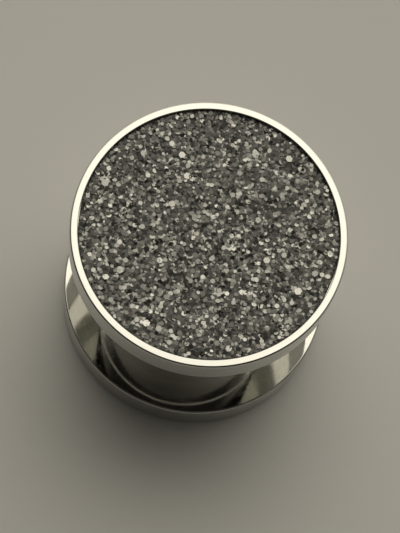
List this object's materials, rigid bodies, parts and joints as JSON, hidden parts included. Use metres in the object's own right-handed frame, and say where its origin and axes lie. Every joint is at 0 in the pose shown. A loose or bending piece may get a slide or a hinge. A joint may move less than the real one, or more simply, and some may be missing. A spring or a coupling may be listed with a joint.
{
  "type": "ear gauge plug",
  "caption": "Polished steel ear plug: a smooth barrel between round flanges, glitter set in the front face inside a thin steel lip, and a plain back flange that comes off on a stud.",
  "frame": {"origin": "centre of the back face, on which the plug stands", "axes": "+Z along the plug's axis, from the plain back flange to the decorated face; X and Y are any two directions across the axis, because every piece is turned"},
  "size_m": [0.012, 0.012, 0.0098],
  "materials": {
    "polished_steel": null,
    "silver_glitter": "fine silver glitter flakes set in clear resin"
  },
  "bodies": {
    "back": {"back_flange_and_stud": "polished_steel"},
    "front": {"barrel_and_front_flange": "polished_steel", "glitter_inlay": "silver_glitter"}
  },
  "joints": [
    {"name": "back_unscrew", "type": "slide", "parent": "back", "child": "front", "axis": [0, 0, 1], "range_m": [0, 0.012]}
  ]
}
